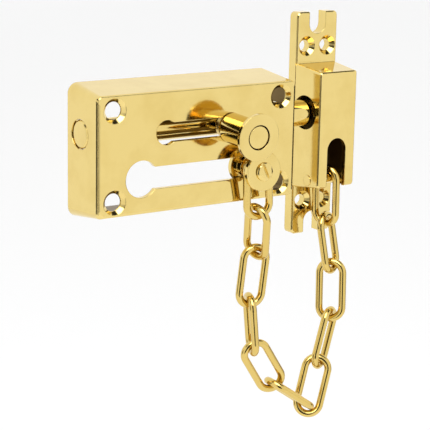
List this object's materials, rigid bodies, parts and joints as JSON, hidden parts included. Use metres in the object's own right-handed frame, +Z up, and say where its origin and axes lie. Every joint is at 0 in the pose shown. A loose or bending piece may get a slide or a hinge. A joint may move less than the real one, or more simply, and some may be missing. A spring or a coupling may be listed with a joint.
{
  "type": "door chain guard",
  "caption": "Door chain guard in polished brass: hollow casing with a push-button sliding bolt, keyhole slot and stud, an oval-link chain, and a keeper with a cross pin.",
  "frame": {"origin": "centre of the casing's open back face, on the surface of the door", "axes": "+X along the bolt towards the keeper, +Y into the door, +Z up"},
  "size_m": [0.1227, 0.0407, 0.1644],
  "materials": {
    "casing_brass": "polished brass, flat lacquered faces with fine sanding lines under the polish",
    "bolt_brass": "turned and polished brass",
    "knob_brass": "turned and polished brass",
    "button_brass": "polished brass",
    "inner_brass": "plain machined brass",
    "stud_brass": "turned and polished brass",
    "screw_brass": "polished brass screw head with a cut slot",
    "keeper_brass": "polished cast brass",
    "keeper_pin_brass": "polished brass pin",
    "chain_brass": "bright dipped and tumbled brass wire",
    "spring_steel": "plain spring wire",
    "pin_steel": "plain ground pin"
  },
  "bodies": {
    "root": {"casing": "casing_brass", "keeper": "keeper_brass", "keeper_pin": "keeper_pin_brass"},
    "bolt": {"bolt_rod": "bolt_brass", "knob": "knob_brass"},
    "button": {"push_button": "button_brass", "lock_collar": "inner_brass", "collar_pin": "pin_steel", "button_spring": "spring_steel"},
    "stud": {"chain_stud": "stud_brass", "stud_disc": "stud_brass", "stud_screw": "screw_brass"},
    "chain_link_01": {"chain_link_01": "chain_brass"},
    "chain_link_02": {"chain_link_02": "chain_brass"},
    "chain_link_03": {"chain_link_03": "chain_brass"},
    "chain_link_04": {"chain_link_04": "chain_brass"},
    "chain_link_05": {"chain_link_05": "chain_brass"},
    "chain_link_06": {"chain_link_06": "chain_brass"},
    "chain_link_07": {"chain_link_07": "chain_brass"},
    "chain_link_08": {"chain_link_08": "chain_brass"},
    "chain_link_09": {"chain_link_09": "chain_brass"},
    "chain_link_10": {"chain_link_10": "chain_brass"},
    "chain_link_11": {"chain_link_11": "chain_brass"}
  },
  "joints": [
    {"name": "bolt_slide", "type": "slide", "parent": "root", "child": "bolt", "axis": [1, 0, 0], "range_m": [-0.0287, 0]},
    {"name": "button_press", "type": "slide", "parent": "bolt", "child": "button", "axis": [0, 0.9986, 0.0523], "range_m": [0, 0.002], "stiffness_N_per_m": 400, "springref_m": -0.002, "deforming": ["button_spring"]},
    {"name": "stud_slide", "type": "slide", "parent": "root", "child": "stud", "axis": [1, 0, 0], "range_m": [-0.0474, 0]},
    {"name": "link_01_swing", "type": "hinge", "parent": "stud", "child": "chain_link_01", "pos_m": [0.0222, -0.0261, -0.0092], "axis": [0, -1, 0], "range_deg": [-0.5, 10]},
    {"name": "link_02_swing", "type": "hinge", "parent": "chain_link_01", "child": "chain_link_02", "pos_m": [0.02474, -0.02366, -0.02646], "axis": [0, -1, 0], "range_deg": [-0.5, 2.5]},
    {"name": "link_03_swing", "type": "hinge", "parent": "chain_link_02", "child": "chain_link_03", "pos_m": [0.02994, -0.01564, -0.04428], "axis": [0, -1, 0], "range_deg": [-0.5, 2.5]},
    {"name": "link_04_swing", "type": "hinge", "parent": "chain_link_03", "child": "chain_link_04", "pos_m": [0.02811, -0.01445, -0.06437], "axis": [0, -1, 0], "range_deg": [-0.5, 3.5]},
    {"name": "link_05_swing", "type": "hinge", "parent": "chain_link_04", "child": "chain_link_05", "pos_m": [0.02998, -0.01453, -0.08449], "axis": [0, -1, 0], "range_deg": [-2.5, 0.5]},
    {"name": "link_06_swing", "type": "hinge", "parent": "chain_link_05", "child": "chain_link_06", "pos_m": [0.04105, -0.01414, -0.10142], "axis": [0, -1, 0], "range_deg": [-10, 0.5]},
    {"name": "link_11_swing", "type": "hinge", "parent": "root", "child": "chain_link_11", "pos_m": [0.0674, -0.0108, -0.0198], "axis": [0, -1, 0], "range_deg": [-8.5, 0.5]},
    {"name": "link_10_swing", "type": "hinge", "parent": "chain_link_11", "child": "chain_link_10", "pos_m": [0.06883, -0.00918, -0.03742], "axis": [0, -1, 0], "range_deg": [-6, 0.5]},
    {"name": "link_09_swing", "type": "hinge", "parent": "chain_link_10", "child": "chain_link_09", "pos_m": [0.07261, -0.00993, -0.05722], "axis": [0, -1, 0], "range_deg": [-4.5, 0.5]},
    {"name": "link_08_swing", "type": "hinge", "parent": "chain_link_09", "child": "chain_link_08", "pos_m": [0.07162, -0.01173, -0.0773], "axis": [0, -1, 0], "range_deg": [-4.5, 0.5]},
    {"name": "link_07_swing", "type": "hinge", "parent": "chain_link_08", "child": "chain_link_07", "pos_m": [0.06451, -0.01347, -0.09609], "axis": [0, -1, 0], "range_deg": [-2.5, 0.5]}
  ],
  "couplings": [
    {"joint": "link_01_swing", "follows": "stud_slide", "rad_per_m": -3.498},
    {"joint": "link_02_swing", "follows": "stud_slide", "rad_per_m": -0.7364},
    {"joint": "link_03_swing", "follows": "stud_slide", "rad_per_m": -0.7364},
    {"joint": "link_04_swing", "follows": "stud_slide", "rad_per_m": -1.1046},
    {"joint": "link_05_swing", "follows": "stud_slide", "rad_per_m": 0.7364},
    {"joint": "link_06_swing", "follows": "stud_slide", "rad_per_m": 3.498},
    {"joint": "link_11_swing", "follows": "stud_slide", "rad_per_m": 2.9457},
    {"joint": "link_10_swing", "follows": "stud_slide", "rad_per_m": 2.0252},
    {"joint": "link_09_swing", "follows": "stud_slide", "rad_per_m": 1.4729},
    {"joint": "link_08_swing", "follows": "stud_slide", "rad_per_m": 1.4729},
    {"joint": "link_07_swing", "follows": "stud_slide", "rad_per_m": 0.7364}
  ]
}
